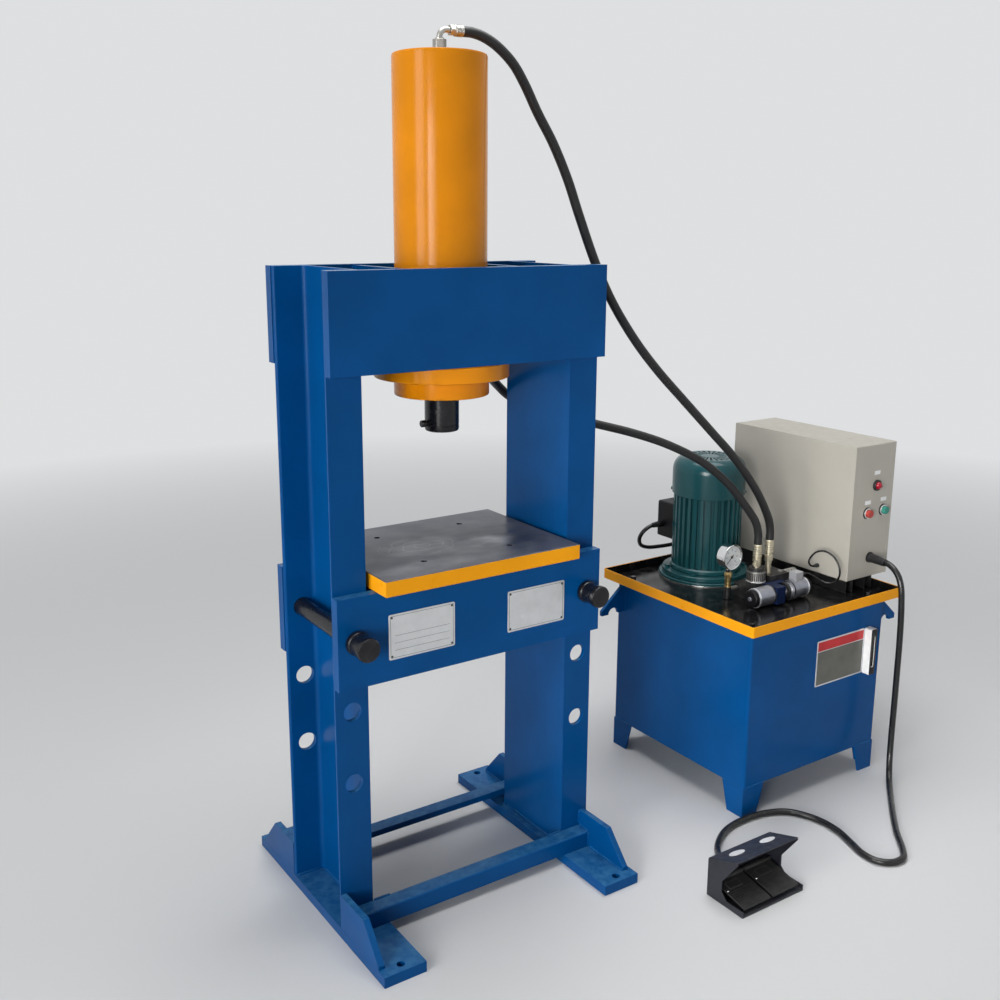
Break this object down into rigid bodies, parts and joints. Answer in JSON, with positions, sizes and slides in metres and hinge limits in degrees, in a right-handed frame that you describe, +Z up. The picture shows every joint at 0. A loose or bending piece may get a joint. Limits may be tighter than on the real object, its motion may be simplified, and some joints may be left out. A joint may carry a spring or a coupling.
{
  "type": "hydraulic workshop press",
  "caption": "Hydraulic workshop press: channel columns, upright cylinder with ram, pinned bed and table, joined by hoses to a power unit with control cabinet and pedal switch.",
  "frame": {"origin": "on the floor under the middle of the bounding box of everything but the hoses and cables", "axes": "+Z up, the operator stands on the -Y side, the power unit is on the +X side of the press"},
  "size_m": [1.7175, 0.9534, 1.9409],
  "materials": {
    "blue_enamel": "glossy enamel",
    "orange_enamel": "glossy enamel",
    "black_steel": "blackened, oiled",
    "machined_steel": "milled",
    "chromed_steel": "polished",
    "zinc_plated_steel": "zinc plated",
    "brass": "turned",
    "plate_aluminium": "satin",
    "teal_enamel": "semi-gloss enamel",
    "beige_enamel": "satin powder coat",
    "black_rubber": "smooth",
    "grey_plastic": "moulded",
    "white_plastic": "moulded",
    "red_lens": "clear red",
    "red_cap": "moulded",
    "green_cap": "moulded",
    "dark_plastic": "moulded",
    "needle_black": "matt"
  },
  "bodies": {
    "frame": {"left_column": "blue_enamel", "right_column": "blue_enamel", "crown": "blue_enamel", "left_foot": "blue_enamel", "right_foot": "blue_enamel", "front_tie": "blue_enamel", "rear_tie": "blue_enamel", "bed": "blue_enamel", "table": "machined_steel", "left_nameplate": "plate_aluminium", "right_nameplate": "plate_aluminium", "cylinder_barrel": "orange_enamel", "mounting_ring": "orange_enamel", "gland_ring": "orange_enamel", "top_elbow": "zinc_plated_steel", "side_fitting": "zinc_plated_steel", "upper_hose": "black_rubber", "lower_hose": "black_rubber", "tank": "blue_enamel", "tray": "orange_enamel", "level_gauge": "white_plastic", "label_plate": "plate_aluminium", "motor_ring": "black_steel", "motor_body": "teal_enamel", "fan_cowl": "teal_enamel", "pump": "machined_steel", "terminal_box": "dark_plastic", "motor_cable": "black_rubber", "valve_block": "black_steel", "valve_body": "blue_enamel", "left_solenoid": "grey_plastic", "right_solenoid": "grey_plastic", "front_hose_end": "zinc_plated_steel", "rear_hose_end": "zinc_plated_steel", "gauge_pipe": "brass", "gauge_case": "zinc_plated_steel", "valve_cable": "black_rubber", "cabinet": "beige_enamel", "left_rail": "black_steel", "right_rail": "black_steel", "indicator_lamp": "red_lens", "cable_gland": "dark_plastic", "pedal_cable": "black_rubber", "pedal_housing": "dark_plastic"},
    "ram": {"ram": "chromed_steel", "ram_head": "black_steel"},
    "set_screw": {"set_screw": "black_steel"},
    "left_pin": {"left_pin": "black_steel"},
    "right_pin": {"right_pin": "black_steel"},
    "rotor": {"rotor": "dark_plastic"},
    "throttle_sleeve": {"throttle_sleeve": "black_steel"},
    "relief_knob": {"relief_knob": "machined_steel"},
    "gauge_needle": {"gauge_needle": "needle_black"},
    "cabinet_door": {"cabinet_door": "beige_enamel"},
    "red_button": {"red_button": "red_cap"},
    "green_button": {"green_button": "green_cap"},
    "left_tread": {"left_tread": "dark_plastic"},
    "right_tread": {"right_tread": "dark_plastic"}
  },
  "joints": [
    {"name": "ram_slide", "type": "slide", "parent": "frame", "child": "ram", "axis": [0, 0, -1], "range_m": [0, 0.25]},
    {"name": "set_screw_turn", "type": "hinge", "parent": "ram", "child": "set_screw", "pos_m": [-0.56725, 0.12, 1.1], "axis": [-1, 0, 0], "continuous": true},
    {"name": "left_pin_slide", "type": "slide", "parent": "frame", "child": "left_pin", "axis": [0, -1, 0], "range_m": [0, 0.3]},
    {"name": "right_pin_slide", "type": "slide", "parent": "frame", "child": "right_pin", "axis": [0, -1, 0], "range_m": [0, 0.3]},
    {"name": "rotor_spin", "type": "hinge", "parent": "frame", "child": "rotor", "pos_m": [0.48575, 0.285, 0.7], "axis": [0, 0, 1], "continuous": true},
    {"name": "throttle_turn", "type": "hinge", "parent": "frame", "child": "throttle_sleeve", "pos_m": [0.43975, 0.042, 0.59], "axis": [0, 0, 1], "range_deg": [0, 300]},
    {"name": "relief_turn", "type": "hinge", "parent": "frame", "child": "relief_knob", "pos_m": [0.57275, 0.042, 0.5755], "axis": [1, 0, 0], "range_deg": [0, 340]},
    {"name": "needle_turn", "type": "hinge", "parent": "frame", "child": "gauge_needle", "pos_m": [0.37675, 0.0755, 0.645], "axis": [0, 1, 0], "range_deg": [0, 270]},
    {"name": "door_swing", "type": "hinge", "parent": "frame", "child": "cabinet_door", "pos_m": [0.83625, 0.369, 0.75], "axis": [0, 0, 1], "range_deg": [0, 110]},
    {"name": "red_press", "type": "slide", "parent": "frame", "child": "red_button", "axis": [0, 1, 0], "range_m": [0, 0.004], "stiffness_N_per_m": 900},
    {"name": "green_press", "type": "slide", "parent": "frame", "child": "green_button", "axis": [0, 1, 0], "range_m": [0, 0.004], "stiffness_N_per_m": 900},
    {"name": "left_tread_press", "type": "hinge", "parent": "frame", "child": "left_tread", "pos_m": [-0.01725, -0.344, 0.0365], "axis": [1, 0, 0], "range_deg": [0, 4], "stiffness_Nm_per_rad": 6, "springref_deg": -11.46},
    {"name": "right_tread_press", "type": "hinge", "parent": "frame", "child": "right_tread", "pos_m": [0.08275, -0.344, 0.0365], "axis": [1, 0, 0], "range_deg": [0, 4], "stiffness_Nm_per_rad": 6, "springref_deg": -11.46}
  ]
}
